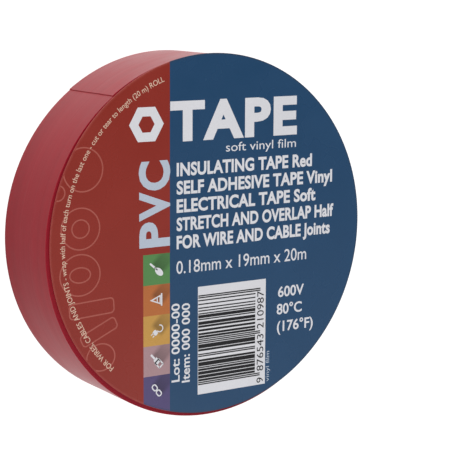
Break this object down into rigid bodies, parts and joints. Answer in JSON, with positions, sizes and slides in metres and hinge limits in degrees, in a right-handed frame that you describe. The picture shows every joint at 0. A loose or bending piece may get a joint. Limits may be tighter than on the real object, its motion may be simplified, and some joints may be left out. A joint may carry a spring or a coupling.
{
  "type": "electrical tape roll",
  "caption": "Roll of red PVC insulating tape on a layered paperboard core, with a printed card disc on its front face and a free end that peels off.",
  "frame": {"origin": "centre of the roll's rear face, on the core's axis", "axes": "+Z along the core's axis and out through the front label, +Y towards the top of the label's print, +X towards its right-hand side"},
  "size_m": [0.0782, 0.078, 0.0193],
  "materials": {
    "core_liner": "matte grey paperboard",
    "core_board": "matte brown core board",
    "tape": "satin flexible PVC film",
    "label": "printed card, satin varnish"
  },
  "bodies": {
    "roll": {"core_liner": "core_liner", "core_ply_2": "core_board", "core_ply_3": "core_board", "core_ply_4": "core_board", "core_cover_ply": "core_board", "tape_winding": "tape", "outer_turn": "tape", "label_stuck_edge": "label"},
    "label": {"label_flap": "label"},
    "tape_end_1": {"tape_end_1": "tape"},
    "tape_end_2": {"tape_end_2": "tape"},
    "tape_end_3": {"tape_end_3": "tape"},
    "tape_end_4": {"tape_end_4": "tape"},
    "tape_end_5": {"tape_end_5": "tape"},
    "tape_end_6": {"tape_end_6": "tape"},
    "tape_end_7": {"tape_end_7": "tape"},
    "tape_end_8": {"tape_end_8": "tape"}
  },
  "joints": [
    {"name": "label_peel", "type": "hinge", "parent": "roll", "child": "label", "pos_m": [0.035, 0, 0.01935], "axis": [0, 1, 0], "range_deg": [0, 110]},
    {"name": "tape_end_peel", "type": "hinge", "parent": "roll", "child": "tape_end_1", "pos_m": [0.01534, 0.03563, 0.0095], "axis": [0, 0, -1], "range_deg": [0, 17]},
    {"name": "tape_end_curl_2", "type": "hinge", "parent": "tape_end_1", "child": "tape_end_2", "pos_m": [0.01056, 0.03733, 0.0095], "axis": [0, 0, -1], "range_deg": [0, 17]},
    {"name": "tape_end_curl_3", "type": "hinge", "parent": "tape_end_2", "child": "tape_end_3", "pos_m": [0.0056, 0.03839, 0.0095], "axis": [0, 0, -1], "range_deg": [0, 17]},
    {"name": "tape_end_curl_4", "type": "hinge", "parent": "tape_end_3", "child": "tape_end_4", "pos_m": [0.00054, 0.0388, 0.0095], "axis": [0, 0, -1], "range_deg": [0, 17]},
    {"name": "tape_end_curl_5", "type": "hinge", "parent": "tape_end_4", "child": "tape_end_5", "pos_m": [-0.00453, 0.03854, 0.0095], "axis": [0, 0, -1], "range_deg": [0, 17]},
    {"name": "tape_end_curl_6", "type": "hinge", "parent": "tape_end_5", "child": "tape_end_6", "pos_m": [-0.00952, 0.03762, 0.0095], "axis": [0, 0, -1], "range_deg": [0, 17]},
    {"name": "tape_end_curl_7", "type": "hinge", "parent": "tape_end_6", "child": "tape_end_7", "pos_m": [-0.01435, 0.03606, 0.0095], "axis": [0, 0, -1], "range_deg": [0, 17]},
    {"name": "tape_end_curl_8", "type": "hinge", "parent": "tape_end_7", "child": "tape_end_8", "pos_m": [-0.01894, 0.03388, 0.0095], "axis": [0, 0, -1], "range_deg": [0, 17]}
  ],
  "couplings": [
    {"joint": "tape_end_curl_2", "follows": "tape_end_peel", "ratio": 1},
    {"joint": "tape_end_curl_3", "follows": "tape_end_peel", "ratio": 1},
    {"joint": "tape_end_curl_4", "follows": "tape_end_peel", "ratio": 1},
    {"joint": "tape_end_curl_5", "follows": "tape_end_peel", "ratio": 1},
    {"joint": "tape_end_curl_6", "follows": "tape_end_peel", "ratio": 1},
    {"joint": "tape_end_curl_7", "follows": "tape_end_peel", "ratio": 1},
    {"joint": "tape_end_curl_8", "follows": "tape_end_peel", "ratio": 1}
  ]
}
